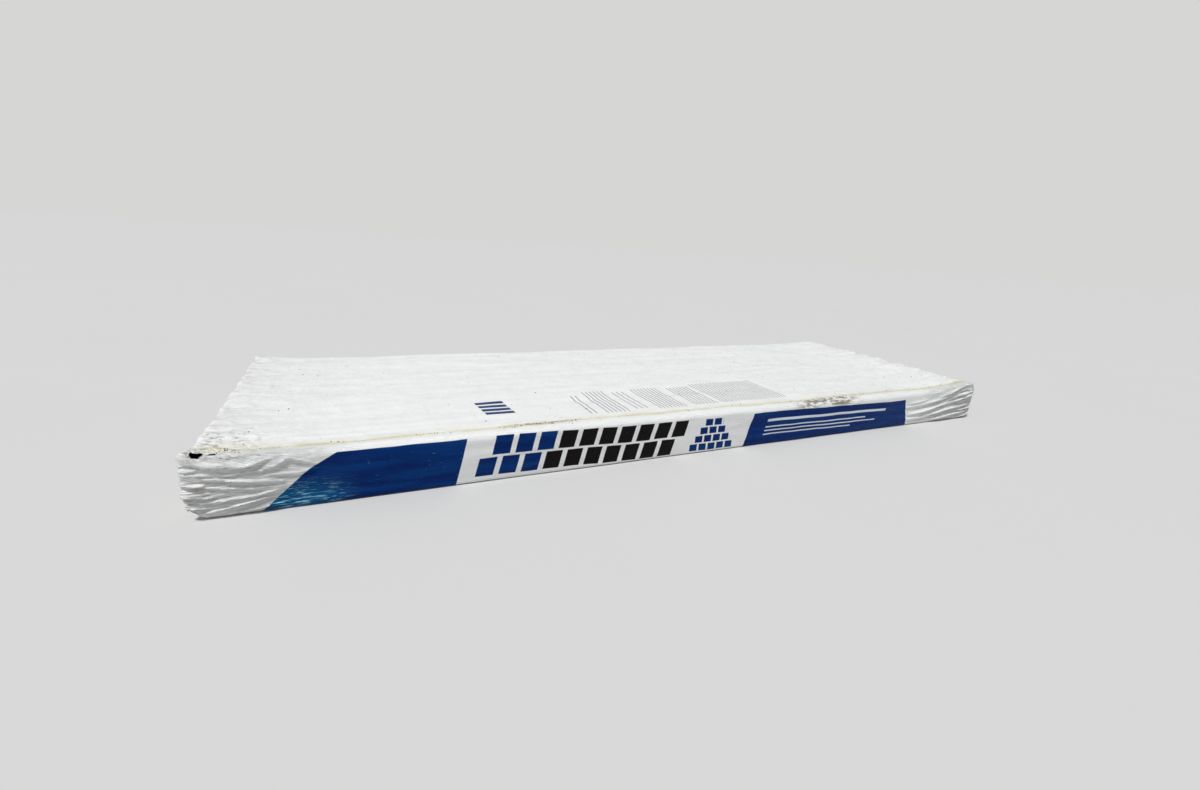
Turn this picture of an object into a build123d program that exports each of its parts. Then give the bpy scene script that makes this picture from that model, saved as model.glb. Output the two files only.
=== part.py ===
from build123d import *
import os
from math import sin, sqrt

os.makedirs("parts", exist_ok=True)

# A bundle of flat asphalt starter shingles in a plastic film sleeve.
# +X runs along the shingles, +Z is up, and the origin is under the middle of the bundle.
# The long side at -Y is the front. All sizes are in millimetres.

# One shingle: a mat of asphalt and granules with a sealant strip along each long edge
shingle_length = 1000.0
shingle_width = 337.0
mat_thickness = 2.35
sealant_thickness = 0.35
sealant_width = 12.0
sealant_setback = 14.0
slit_pitch = 50.0
slit_length = 38.0
slit_width = 1.2

# The stack: how many shingles, and how far one may lie out of line with the rest
shingle_count = 18
stagger_along = 1.2
stagger_across = 0.6
stagger_step_along = 2.3
stagger_step_across = 1.7

# The film sleeve round the stack
film_thickness = 0.6
bottom_bend_radius = 4.0
end_bend_radius = 2.5
fit_gap = 0.4
top_slack = 2.7
top_bend_share = 0.65
seam_width = 14.0

# The opening that the film leaves in each end, with its rolled lip
opening_length = 150.0
opening_height = 20.0
opening_tip_height = 6.0
lip_width = 2.0
lip_height = 0.8

# The pleats that fan out from each tip of an opening to the corners of the bundle
pleats_per_fan = 5
pleat_height = 2.4
pleat_width = 5.0
pleat_crest = 0.8
pleat_root = 0.2
pleat_margin = 7.0

# The shorter tucks that run from an opening's long sides to the top and bottom edges
tuck_count = 4
tuck_pitch = 32.0
tuck_spread = 1.2
tuck_margin = 4.0

# The pinched ears of film that stand out at the corners of each end
ear_thickness = 5.0
ear_tip_thickness = 2.0
ear_root = 0.3
top_ear_length = 10.0
top_ear_height = 33.0
top_ear_tip_height = 6.0
bottom_ear_length = 5.0
bottom_ear_height = 12.0
bottom_ear_tip_height = 3.0

# The small tear in the film over the front left top corner
tear_length = 9.0
tear_height = 5.0
tear_setback = 8.0

# Sizes that follow from those above
shingle_pitch = mat_thickness + sealant_thickness
stack_height = shingle_count * shingle_pitch
side_slack = bottom_bend_radius + fit_gap
end_slack = end_bend_radius + fit_gap
widest_top_radius = side_slack + top_slack + sqrt(2 * side_slack * top_slack) - fit_gap
top_radius = top_bend_share * widest_top_radius
cavity_length = shingle_length + 2 * (stagger_along + end_slack)
cavity_width = shingle_width + 2 * (stagger_across + side_slack)
cavity_height = stack_height + top_slack
film_length = cavity_length + 2 * film_thickness
film_width = cavity_width + 2 * film_thickness
film_height = cavity_height + 2 * film_thickness
middle_height = film_height / 2


def film_block(outset):
    """The block inside the film, grown by outset, with the film's rounded edges."""
    with BuildPart() as block:
        with BuildSketch(Plane.YZ.offset(-cavity_length / 2 - outset)) as section:
            with Locations((0, film_thickness - outset)):
                Rectangle(
                    cavity_width + 2 * outset,
                    cavity_height + 2 * outset,
                    align=(Align.CENTER, Align.MIN),
                )
            fillet(section.vertices().group_by(Axis.Y)[-1], top_radius + outset)
            fillet(section.vertices().group_by(Axis.Y)[0], bottom_bend_radius + outset)
        extrude(amount=cavity_length + 2 * outset)
        fillet(block.faces().filter_by(Axis.X).edges(), end_bend_radius + outset)
    return block.part


def end_plane(end, outset=0.0):
    """The plane of one end wall, seen from outside, centred at mid height: end is -1 or 1."""
    return Plane(
        origin=(end * (film_length / 2 + outset), 0, middle_height),
        x_dir=(0, end, 0),
        z_dir=(end, 0, 0),
    )


def opening_sketch(end, grown, outset=0.0):
    """The long opening with blunt tips, grown all round, on the plane of one end."""
    half = opening_length / 2 + grown
    rise = opening_height / 2 + grown
    tip = opening_tip_height / 2 + grown
    with BuildSketch(end_plane(end, outset)) as outline:
        with BuildLine():
            ThreePointArc((-half, tip), (0, rise), (half, tip))
            Line((half, tip), (half, -tip))
            ThreePointArc((half, -tip), (0, -rise), (-half, -tip))
            Line((-half, -tip), (-half, tip))
        make_face()
    return outline.sketch


def pleat(end, start, finish):
    """One fold of film on an end wall, highest where it bunches up, before its finish."""
    wall = end_plane(end)
    along = (finish - start).normalized()
    direction = wall.x_dir * along.X + wall.y_dir * along.Y
    across = wall.z_dir.cross(direction)
    with BuildPart() as fold:
        for place, size in ((0.0, 0.3), (0.75, 1.0), (1.0, 0.5)):
            foot = wall.from_local_coords(start + (finish - start) * place)
            with BuildSketch(Plane(origin=foot, x_dir=across, z_dir=direction)):
                with BuildLine():
                    Polyline(
                        (-size * pleat_width / 2, -pleat_root),
                        (size * pleat_width / 2, -pleat_root),
                        (size * pleat_crest / 2, size * pleat_height),
                        (-size * pleat_crest / 2, size * pleat_height),
                        close=True,
                    )
                make_face()
        loft(ruled=True)
    return fold.part


def fan_lines(side):
    """Where the pleats of one fan start and finish on the end wall, from low to high."""
    tip = opening_length / 2 + lip_width
    reach = film_width / 2 - end_bend_radius - film_thickness
    spread = film_height / 2 - pleat_margin
    for step in range(pleats_per_fan):
        level = 2 * step / (pleats_per_fan - 1) - 1
        yield Vector(side * tip, level * opening_tip_height / 2), Vector(side * reach, level * spread)


def tuck_lines(level):
    """The same for the tucks above the opening, where level is 1, or below it, where it's -1."""
    root = level * (opening_height / 2 + lip_width)
    reach = level * (film_height / 2 - tuck_margin)
    for step in range(tuck_count):
        place = (step - (tuck_count - 1) / 2) * tuck_pitch
        yield Vector(place, root), Vector(place * tuck_spread, reach)


def ear(end, side, level, length, height, tip_height):
    """A pinched web of doubled film down one corner: level is -1 at the floor and 1 at the top."""
    corner = film_width / 2 - end_bend_radius - film_thickness
    with BuildPart() as pinch:
        for outset, thick, tall, clear in (
            (-ear_root, ear_thickness, height, end_bend_radius + film_thickness),
            (length, ear_tip_thickness, tip_height, 0),
        ):
            # The web's upper or lower edge runs out to the level of the film's top or underside
            middle = film_height / 2 - clear - tall / 2
            with BuildSketch(end_plane(end, outset)) as section:
                with Locations((side * (corner - thick / 2), level * middle)):
                    Rectangle(thick, tall)
                chamfer(section.vertices(), thick / 4)
        loft(ruled=True)
    return pinch.part


# The film is a thin shell with a lap seam along its back
with BuildPart() as wrap_film:
    add(film_block(film_thickness))
    back = Plane(origin=(0, film_width / 2, middle_height), x_dir=(-1, 0, 0), z_dir=(0, 1, 0))
    with BuildSketch(back):
        Rectangle(cavity_length - 2 * end_bend_radius, seam_width)
    extrude(amount=film_thickness)

    # Its ends are drawn in to a lipped opening, with pleats and ears where the film bunches up
    for end in (-1, 1):
        extrude(opening_sketch(end, lip_width), amount=lip_height)
        for side in (-1, 1):
            for start, finish in (*fan_lines(side), *tuck_lines(side)):
                add(pleat(end, start, finish))
            add(ear(end, side, 1, top_ear_length, top_ear_height, top_ear_tip_height))
            add(ear(end, side, -1, bottom_ear_length, bottom_ear_height, bottom_ear_tip_height))

    # The stack's space is hollow, open through both ends
    add(film_block(0), mode=Mode.SUBTRACT)
    for end in (-1, 1):
        extrude(
            opening_sketch(end, 0, lip_height),
            amount=-(lip_height + film_thickness + end_slack),
            mode=Mode.SUBTRACT,
        )

    # The tear faces the bevel of the front top edge
    tear_plane = Plane(
        origin=(-film_length / 2 + tear_setback, -film_width / 2, film_height),
        x_dir=(1, 0, 0),
        z_dir=(0, -1, 1),
    )
    with BuildSketch(tear_plane):
        with BuildLine():
            Spline(
                (-tear_length / 2, -tear_height / 4),
                (0, -tear_height / 2),
                (tear_length / 2, 0),
                (tear_length / 6, tear_height / 2),
                periodic=True,
            )
        make_face()
    extrude(amount=-(top_radius + film_thickness), mode=Mode.SUBTRACT)

wrap_film.part.label = "wrap_film"
export_step(wrap_film.part, "parts/wrap_film.step")

# The shingles lie face up on the film and on each other's sealant strips, slightly out of line
slit_count = int((shingle_length - slit_length) // slit_pitch)
strip_spacing = shingle_width - 2 * sealant_setback - sealant_width
for index in range(shingle_count):
    along = stagger_along * sin(stagger_step_along * index)
    across = stagger_across * sin(stagger_step_across * index)
    underside = film_thickness + index * shingle_pitch
    with BuildPart() as shingle:
        with BuildSketch(Plane((along, across, underside))):
            Rectangle(shingle_length, shingle_width)
            # The row of slits down the middle is where the roofer tears it in two
            with GridLocations(slit_pitch, 0, slit_count, 1):
                Rectangle(slit_length, slit_width, mode=Mode.SUBTRACT)
        extrude(amount=mat_thickness)
        with BuildSketch(Plane((along, across, underside + mat_thickness))):
            with GridLocations(0, strip_spacing, 1, 2):
                Rectangle(shingle_length, sealant_width)
        extrude(amount=sealant_thickness)
    name = f"shingle_{index + 1:02d}"
    shingle.part.label = name
    export_step(shingle.part, f"parts/{name}.step")
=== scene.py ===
import math

import bpy
import numpy as np
from mathutils import Matrix, Vector
from mathutils.bvhtree import BVHTree


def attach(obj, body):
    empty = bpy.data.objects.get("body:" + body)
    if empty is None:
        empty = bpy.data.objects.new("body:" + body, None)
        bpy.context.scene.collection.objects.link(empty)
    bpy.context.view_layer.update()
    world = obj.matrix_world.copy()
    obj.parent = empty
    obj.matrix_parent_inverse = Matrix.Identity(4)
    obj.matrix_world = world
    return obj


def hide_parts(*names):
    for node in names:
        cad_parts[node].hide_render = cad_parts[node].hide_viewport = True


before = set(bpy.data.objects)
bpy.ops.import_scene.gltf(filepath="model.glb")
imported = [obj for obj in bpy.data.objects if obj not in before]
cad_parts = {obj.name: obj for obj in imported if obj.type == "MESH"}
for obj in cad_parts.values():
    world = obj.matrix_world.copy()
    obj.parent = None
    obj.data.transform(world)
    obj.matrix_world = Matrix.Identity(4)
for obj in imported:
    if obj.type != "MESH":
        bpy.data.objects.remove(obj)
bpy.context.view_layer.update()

MM = 0.001
ROUNDING = 1e-9

# The bundle, in metres: half its length and width without ears and seam, and its height
HALF_LENGTH = 504.7 * MM
HALF_WIDTH = 174.1 * MM
HEIGHT = 52.5 * MM

# The stack of shingles, which the film may touch but never enter
STACK_HALF_LENGTH = 501.3 * MM
STACK_HALF_WIDTH = 169.2 * MM
STACK_BOTTOM = 0.6 * MM
STACK_TOP = 49.2 * MM
SKIN = 0.25 * MM

# How the film is bent round the stack, and where its two edges are lapped on the back
TOP_RADIUS = 8 * MM
BOTTOM_RADIUS = 4.5 * MM
END_RADIUS = 3 * MM
LAP_TOP = 33.25 * MM
LAP_BOTTOM = 19.25 * MM
LAP_GAP = 0.5 * MM

# The long opening that each drawn-in end leaves, and the rim that turns in from it
OPENING_HALF_LENGTH = 75 * MM
OPENING_HALF_HEIGHT = 10 * MM
OPENING_TIP_HEIGHT = 3 * MM
RIM_LENGTH = 4 * MM
RIM_DEPTH = 4.5 * MM

# How far the film stands out past the ends: at the corners, round the edge and at the opening,
# up to what height that is rounded off at the floor, and how far the ends of the top stand up
EAR_LENGTH = 5.5 * MM
END_BULGE = 6 * MM
RIM_BULGE = 2.5 * MM
FOOT_ROUND = 13 * MM
END_RISE = 4 * MM


def deselect_all():
    """Leaves nothing selected, as the frame starts with its own pieces selected."""
    for piece in bpy.context.selected_objects:
        piece.select_set(False)


# Each side of the film's section: its length and into how many rows it is divided
STRAIGHT_BACK_LOW = LAP_TOP - BOTTOM_RADIUS
STRAIGHT_BOTTOM = 2 * (HALF_WIDTH - BOTTOM_RADIUS)
STRAIGHT_FRONT = HEIGHT - TOP_RADIUS - BOTTOM_RADIUS
STRAIGHT_TOP = 2 * (HALF_WIDTH - TOP_RADIUS)
STRAIGHT_BACK_HIGH = HEIGHT - TOP_RADIUS - LAP_BOTTOM
BOTTOM_ARC = BOTTOM_RADIUS * math.pi / 2
TOP_ARC = TOP_RADIUS * math.pi / 2
FRONT_FOOT = STRAIGHT_BACK_LOW + BOTTOM_ARC + STRAIGHT_BOTTOM + BOTTOM_ARC / 2

# Distances up the film from the front's foot at which the flat top starts and finishes
TOP_START = BOTTOM_ARC / 2 + STRAIGHT_FRONT + TOP_ARC
TOP_FINISH = TOP_START + STRAIGHT_TOP

# The strip of the top behind the front edge, where the rows are closer together
FRONT_STRIP = 40 * MM

# Into how many columns the turn, the wall and the rim of each end are divided
END_TURN = 4
END_WALL = 16
END_LIP = 3

# In millimetres up the film, where the front's own creases begin and end
FRONT_ZONE = (-40, -5, 60, 100)


def row_places():
    """Distances round the girth of the film's rows of points, which are closest on the front."""
    sides = (
        (STRAIGHT_BACK_LOW, 14),
        (BOTTOM_ARC, 4),
        (STRAIGHT_BOTTOM, 30),
        (BOTTOM_ARC, 5),
        (STRAIGHT_FRONT, 62),
        (TOP_ARC, 16),
        (FRONT_STRIP, 22),
        (STRAIGHT_TOP - FRONT_STRIP, 74),
        (TOP_ARC, 8),
        (STRAIGHT_BACK_HIGH, 10),
    )
    places, start = [], 0.0
    for length, count in sides:
        places += list(np.linspace(start, start + length, count, endpoint=False))
        start += length
    return np.array(places + [start])


def column_places():
    """Positions along the straight part of the film, close together near both ends."""
    half = HALF_LENGTH - END_RADIUS
    fine, coarse, reach = 1.6 * MM, 4.4 * MM, 95 * MM
    places = [0.0]
    while places[-1] < half:
        ahead = half - places[-1]
        blend = min(max((ahead - reach) / reach, 0.0), 1.0)
        places.append(places[-1] + fine + (coarse - fine) * blend)
    right = np.array(places) * half / places[-1]
    return np.concatenate([-right[:0:-1], right])


def section(place):
    """Depth, height and outward direction of the film's section at each distance round it."""
    y, z, ny, nz = (np.zeros_like(place) for _ in range(4))

    def straight(start, length, first, last, normal):
        here = (place >= start - ROUNDING) & (place <= start + length + ROUNDING)
        t = (place[here] - start) / length
        y[here] = first[0] + (last[0] - first[0]) * t
        z[here] = first[1] + (last[1] - first[1]) * t
        ny[here], nz[here] = normal
        return start + length

    def corner(start, radius, centre, first_angle):
        length = radius * math.pi / 2
        here = (place > start) & (place < start + length)
        angle = first_angle - (place[here] - start) / radius
        ny[here], nz[here] = np.cos(angle), np.sin(angle)
        y[here] = centre[0] + radius * np.cos(angle)
        z[here] = centre[1] + radius * np.sin(angle)
        return start + length

    low, high = BOTTOM_RADIUS, HEIGHT - TOP_RADIUS
    in_low, in_high = HALF_WIDTH - BOTTOM_RADIUS, HALF_WIDTH - TOP_RADIUS
    at = straight(0.0, STRAIGHT_BACK_LOW, (HALF_WIDTH, LAP_TOP), (HALF_WIDTH, low), (1, 0))
    after_back = at
    at += BOTTOM_ARC
    at = straight(at, STRAIGHT_BOTTOM, (in_low, 0), (-in_low, 0), (0, -1))
    after_bottom = at
    at += BOTTOM_ARC
    at = straight(at, STRAIGHT_FRONT, (-HALF_WIDTH, low), (-HALF_WIDTH, high), (-1, 0))
    after_front = at
    at += TOP_ARC
    at = straight(at, STRAIGHT_TOP, (-in_high, HEIGHT), (in_high, HEIGHT), (0, 1))
    after_top = at
    at += TOP_ARC
    straight(at, STRAIGHT_BACK_HIGH, (HALF_WIDTH, high), (HALF_WIDTH, LAP_BOTTOM), (1, 0))
    corner(after_back, BOTTOM_RADIUS, (in_low, low), 0.0)
    corner(after_bottom, BOTTOM_RADIUS, (-in_low, low), -math.pi / 2)
    corner(after_front, TOP_RADIUS, (-in_high, high), -math.pi)
    corner(after_top, TOP_RADIUS, (in_high, high), math.pi / 2)
    return y, z, ny, nz


def opening_point(y, z):
    """The point of the opening to which the film at (y, z) of the section is drawn in."""
    across = y / HALF_WIDTH
    level = (z - HEIGHT / 2) / (HEIGHT / 2)
    # The last seven hundredths of the width are the film of the long sides
    on_side = np.clip((np.abs(across) - 0.93) / 0.07, 0, 1)
    rim_y = np.clip(across, -1, 1) * OPENING_HALF_LENGTH
    bow = OPENING_TIP_HEIGHT + (OPENING_HALF_HEIGHT - OPENING_TIP_HEIGHT) * (1 - across**2)
    rim_z = HEIGHT / 2 + np.sign(level) * bow * (1 - on_side) + level * bow * on_side
    return rim_y, rim_z


def smooth_step(value, low, high):
    """0 below low, 1 above high and a smooth change between."""
    t = np.clip((value - low) / (high - low), 0, 1)
    return t * t * (3 - 2 * t)


def zone(value, start, full, last, end):
    """Rises from start to full and falls again from last to end, all in millimetres."""
    rise = smooth_step(value, start * MM, full * MM)
    return rise * (1 - smooth_step(value, last * MM, end * MM))


def soft_field(a, b, seed):
    """A smooth random field between -1 and 1 over two coordinates counted in wavelengths."""
    lattice = np.random.default_rng(seed).uniform(-1, 1, (97, 97))
    i, j = np.floor(a).astype(int), np.floor(b).astype(int)
    fa, fb = a - i, b - j
    fa, fb = fa * fa * (3 - 2 * fa), fb * fb * (3 - 2 * fb)
    near, far = lattice[i % 97, j % 97], lattice[(i + 1) % 97, j % 97]
    near_up, far_up = lattice[i % 97, (j + 1) % 97], lattice[(i + 1) % 97, (j + 1) % 97]
    return (near * (1 - fa) + far * fa) * (1 - fb) + (near_up * (1 - fa) + far_up * fa) * fb


def creased_field(a, b, seed):
    """The same with sharp crests, from 0 to 1, as film that has been crumpled."""
    return 1 - np.sqrt(np.abs(soft_field(a, b, seed)))


def waves(along, up, long, close, seed):
    """A soft field with these wavelengths, in millimetres, along the film and up it."""
    return soft_field(along / (long * MM), up / (close * MM), seed)


def crumples(along, up, long, close, seed, mean=0.35):
    """The same with sharp crests, taken down by about its mean."""
    return creased_field(along / (long * MM), up / (close * MM), seed) - mean


def fold_field(along, up, points, height, width):
    """A fold through the points, highest midway and thin at its ends, with a hollow below it."""
    route = np.array(points) * MM
    reach = np.hypot(*np.diff(route, axis=0).T)
    total, done = reach.sum(), 0.0
    best = np.full_like(along, 1.0)
    side = np.zeros_like(along)
    travelled = np.zeros_like(along)
    for start, finish, length in zip(route[:-1], route[1:], reach):
        step = (finish - start) / length
        da, du = along - start[0], up - start[1]
        t = np.clip(da * step[0] + du * step[1], 0, length)
        off_a, off_u = da - t * step[0], du - t * step[1]
        distance = np.hypot(off_a, off_u)
        closer = distance < best
        best[closer] = distance[closer]
        side[closer] = (step[0] * off_u - step[1] * off_a)[closer]
        travelled[closer] = (done + t[closer]) / total
        done += length
    strength = np.sin(np.pi * (0.06 + 0.88 * np.clip(travelled, 0, 1))) ** 0.7
    w = width * MM
    crest = np.exp(-np.sqrt((best / w) ** 2 * 2.2 + 0.02) + 0.14)
    hollow = np.exp(-(((side + 1.7 * w) / (1.1 * w)) ** 2)) * (best < 5 * w)
    fade = np.exp(-((best / (5 * w)) ** 4))
    return height * MM * strength * (crest - 0.45 * hollow) * fade


# By how much the height and width of the folds are multiplied at each end
LEFT_STRENGTH = (1.15, 0.9)
RIGHT_STRENGTH = (2.1, 1.2)

# Folds of the front that stand out, as points (along the bundle, up the film) in millimetres,
# with their height and width
LEFT_FOLDS = (
    (((-507, 50.8), (-492, 44.8), (-480, 41.8), (-470, 42.8), (-461, 45.3), (-450, 48.8)), 2.2, 1.7),
    (((-462, 37.8), (-449, 41.8), (-440.5, 46.8), (-430, 42.8), (-420, 39.3)), 2.0, 2.2),
    (((-512, 39.8), (-488, 34.3), (-476, 30.8), (-463, 28.3), (-446, 26.8)), 2.2, 1.6),
    (((-512, 33.8), (-496, 29.8), (-482, 25.3), (-464, 22.3)), 2.0, 1.4),
    (((-513, 25.8), (-502, 21.3), (-488, 19.3)), 2.4, 1.4),
    (((-496, 15.8), (-481, 15.3), (-466, 15.8), (-450, 18.8)), 2.4, 1.4),
    (((-500, 4.3), (-487, 6.8), (-472, 10.3), (-455, 13.8)), 2.8, 1.4),
    (((-510, 3.8), (-500, 9.3), (-488, 11.3)), 2.2, 1.2),
    (((-490, -0.2), (-470, 3.3), (-448, 5.8)), 1.8, 1.4),
    (((-492, 51.8), (-482, 49.3), (-470, 51.8), (-458, 53.8)), 1.0, 1.5),
    (((-458, 33.3), (-436, 32.8), (-416, 34.8)), 1.1, 2.0),
)
RIGHT_FOLDS = (
    (((352, 27.8), (389, 30.8), (411, 32.8), (437, 36.3), (463, 41.3), (488, 45.8)), 1.5, 2.2),
    (((362, 16.8), (389, 18.8), (411, 21.8), (437, 26.3), (462, 28.8)), 1.9, 1.9),
    (((398, 10.8), (429, 14.8), (449, 17.8), (474, 19.8), (496, 22.8)), 2.1, 1.8),
    (((462, 27.8), (479, 31.8), (491, 34.3), (508, 37.8)), 1.9, 1.5),
    (((420, 3.3), (449, 6.8), (471, 8.8), (498, 11.8)), 1.6, 1.6),
    (((430, 38.8), (455, 43.8), (478, 48.8), (505, 51.8)), 1.6, 1.8),
    (((357, 8.8), (380, 10.3), (404, 8.8)), 1.0, 1.8),
    (((445, 31.3), (468, 35.3), (492, 40.3), (508, 42.8)), 1.3, 1.4),
    (((470, 12.3), (490, 15.3), (509, 17.8)), 1.5, 1.3),
    (((480, 0.8), (495, 3.3), (510, 6.8)), 1.4, 1.4),
    (((356, 33.8), (376, 34.8), (402, 36.8)), 0.8, 1.9),
    (((440, 11.8), (462, 13.8), (486, 16.3)), 1.0, 1.3),
)


def end_fan(along, up, end, count, shortest, longest, seed):
    """Many small folds that run in along the film from one end, each at its own height."""
    random = np.random.default_rng(seed)
    total = np.zeros_like(along)
    for _ in range(count):
        foot = random.uniform(-12, 75)
        length = random.uniform(shortest, longest)
        rise = random.normal(0, 0.10) * length
        start = HALF_LENGTH / MM + 6
        bend = random.normal(0, 1.5)
        points = (
            (end * start, foot),
            (end * (start - length / 2), foot + rise / 2 + bend),
            (end * (start - length), foot + rise),
        )
        height = random.uniform(0.4, 1.25)
        width = random.uniform(0.6, 1.4)
        total += fold_field(along, up, points, height, width) * (end * along > 0)
    return total


def thin_creases(along, up):
    """Thin close creases: those on the left run together inwards, and those on the right rise."""
    from_left, from_right = HALF_LENGTH + along, HALF_LENGTH - along
    spread = 0.9 * np.clip(from_left / (60 * MM), -0.1, 1.2)
    # Only the front's creases run together: those of the other sides stay straight
    left_flow = up + (up - 25 * MM) * spread * zone(up, *FRONT_ZONE)
    right_flow = up + 0.14 * from_right
    total = np.zeros_like(along)
    for long, close, depth, seed in ((36, 2.7, 1.0, 61), (17, 1.7, 0.5, 63)):
        left = crumples(along, left_flow, long, close, seed)
        right = crumples(along, right_flow, 1.3 * long, close, seed + 1)
        total += 1.7 * depth * left * np.exp(-np.abs(from_left / (52 * MM)) ** 1.8)
        total += depth * right * np.exp(-np.abs(from_right / (88 * MM)) ** 1.8)
    return total * MM


def near_ends(along, left, right):
    """1 at both ends of the bundle, falling away over these millimetres at the left and right."""
    near_left = np.exp(-np.abs(HALF_LENGTH + along) / (left * MM))
    near_right = np.exp(-np.abs(HALF_LENGTH - along) / (right * MM))
    return np.maximum(near_left, near_right)


def slack_waves(along, up):
    """The slack of the film in millimetres: long shallow waves, and crumples on the loose top."""
    slack = 0.80 * waves(along, up, 150, 34, 3)
    slack += 0.50 * waves(along, up, 70, 13, 5)
    slack += 0.26 * waves(along, up, 34, 6, 8)
    loose = smooth_step(up, TOP_START, TOP_START + 14 * MM)
    loose *= 1 - smooth_step(up, TOP_FINISH - 14 * MM, TOP_FINISH)
    dents = crumples(along, up, 26, 15, 27) + 0.45 * crumples(along, up, 11, 8, 29)
    return slack + loose * (0.25 + 1.9 * near_ends(along, 70, 60)) * dents


def end_gathers(along, up):
    """Gathers that run in from the drawn ends, and sharp crumples at the very ends."""
    gather = soft_field(along / (90 * MM) + 11, up / (7.5 * MM), 21)
    gather_fine = creased_field(along / (44 * MM) + 5, up / (4.6 * MM), 23) - 0.35
    sharp = crumples(along, up, 9, 7, 31) + 0.5 * crumples(along, up, 4.6, 4, 37)
    drawn = near_ends(along, 26, 38) * (1.5 * gather + 1.0 * gather_fine)
    return drawn + 0.7 * near_ends(along, 9, 9) * sharp


def wrinkles(along, up):
    """How far the film stands out from its taut shape, over the whole flat film."""
    total = (slack_waves(along, up) + end_gathers(along, up)) * MM + thin_creases(along, up)
    for folds, (taller, wider) in ((LEFT_FOLDS, LEFT_STRENGTH), (RIGHT_FOLDS, RIGHT_STRENGTH)):
        for points, height, width in folds:
            total += fold_field(along, up, points, taller * height, wider * width)
    total += end_fan(along, up, -1, 52, 18, 60, 41)
    total += end_fan(along, up, 1, 34, 22, 80, 43)
    return total


def shoulder(along, up):
    """The front top edge: a soft ridge along its crease, crumpled in one place to the right."""
    crease_up = TOP_START + (6 + 1.5 * soft_field(along / (140 * MM), along * 0 + 2, 51)) * MM
    ridge = 0.8 * np.exp(-(((up - crease_up) / (1.6 * MM)) ** 2))
    behind = -0.9 * np.exp(-(((up - crease_up - 5 * MM) / (3.5 * MM)) ** 2))
    uneven = 0.7 + 0.5 * waves(along, up, 50, 40, 53)
    patch = zone(along, 120, 160, 235, 268)
    patch = patch * np.exp(-(((up - TOP_START + 5 * MM) / (9 * MM)) ** 4))
    sharp = crumples(along, up, 17, 8, 57, 0.4) + 0.5 * crumples(along, up, 8, 5, 59, 0.4)
    return ((ridge + behind) * uneven + 2.0 * patch * sharp) * MM


def top_sag(along, across):
    """The slack film of the top hangs a little between the raised ends."""
    middle = smooth_step(HALF_LENGTH - np.abs(along), 12 * MM, 150 * MM)
    inside = smooth_step(HALF_WIDTH - np.abs(across), 10 * MM, 60 * MM)
    return -2.3 * MM * middle * (0.55 + 0.45 * inside)


def raised_ends(along, up, height):
    """How far the film stands up over both ends, where it is gathered before it is drawn in."""
    left = np.exp(-(((HALF_LENGTH + along) / (27 * MM)) ** 2)) * (along < 0)
    right = np.exp(-(((HALF_LENGTH - along) / (48 * MM)) ** 2)) * (along > 0)
    uneven = 0.9 + 0.35 * waves(along, up, 30, 24, 95)
    return END_RISE * (left + right) * uneven * smooth_step(height, 0.4 * HEIGHT, HEIGHT)


def keep_off_stack(point, normal):
    """Moves points that would be in the stack out of it, so that the film lies on the shingles."""
    centre = np.array([0, 0, (STACK_BOTTOM + STACK_TOP) / 2])
    half = np.array([STACK_HALF_LENGTH, STACK_HALF_WIDTH, (STACK_TOP - STACK_BOTTOM) / 2])
    for _ in range(4):
        offset = np.abs(point - centre) - half
        outside = np.linalg.norm(np.maximum(offset, 0), axis=1)
        inside = np.minimum(offset.max(axis=1), 0)
        lacking = SKIN - (outside + inside)
        point += normal * np.maximum(lacking, 0)[:, None] * 1.02
    return point


def column_steps(straight):
    """For each column: its place on the straight part, its end, and how far it is round the turn,
    in over the wall and into the rim."""
    turn = np.linspace(0, 1, END_TURN + 1)[1:]
    wall = np.linspace(0, 1, END_WALL + 1)[1:] ** 1.35
    lip = np.linspace(0, 1, END_LIP + 1)[1:]
    tail = END_TURN + END_WALL + END_LIP
    no_turn = np.zeros(len(straight))

    def both_ends(steps):
        return np.concatenate([steps[::-1], no_turn, steps])

    body = np.concatenate([np.full(tail, straight[0]), straight, np.full(tail, straight[-1])])
    end = np.array([-1] * tail + [0] * len(straight) + [1] * tail)
    arc = both_ends(np.concatenate([turn, np.ones(END_WALL + END_LIP)]))
    inward = both_ends(np.concatenate([np.zeros(END_TURN), wall, np.ones(END_LIP)]))
    rolled = both_ends(np.concatenate([np.zeros(END_TURN + END_WALL), lip]))
    return [step[None, :] for step in (body, end, arc, inward, rolled)]


def film_points():
    """Every point of the folded film, its outward direction and fields, and the grid's size."""
    rows = row_places()
    body, end, arc, inward, rolled = column_steps(column_places())
    y, z, ny, nz = (v[:, None] for v in section(rows))
    lapped = smooth_step(rows, rows[-1] - 20 * MM, rows[-1] - 14 * MM)[:, None]
    y = y + LAP_GAP * lapped

    angle = arc * math.pi / 2
    side = END_RADIUS * (np.cos(angle) - 1)
    x = body + end * END_RADIUS * np.sin(angle) + 0 * y
    edge_y, edge_z = y + ny * side, z + nz * side
    rim_y, rim_z = opening_point(y, z)
    drawn_y = edge_y + (rim_y - edge_y) * inward
    drawn_z = edge_z + (rim_z - edge_z) * inward
    point = np.stack([x, drawn_y, drawn_z], -1)

    # Outward direction: the section's own on the body, turning to the end's beyond the corner
    nx = end * np.sin(angle) + 0 * y
    normal = np.stack([nx, ny * np.cos(angle), nz * np.cos(angle)], -1)

    # The flat film: along its length and up from the front's foot
    wall_length = np.hypot(rim_y - edge_y, rim_z - edge_z)
    beyond = END_RADIUS * angle + wall_length * inward + rolled * RIM_LENGTH
    along = body + end * beyond + 0 * y
    up = (rows - FRONT_FOOT)[:, None] + 0 * along
    fields = [(v + 0 * along).reshape(-1) for v in (along, up, inward, rolled, end)]
    return point.reshape(-1, 3), normal.reshape(-1, 3), fields, along.shape


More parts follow.
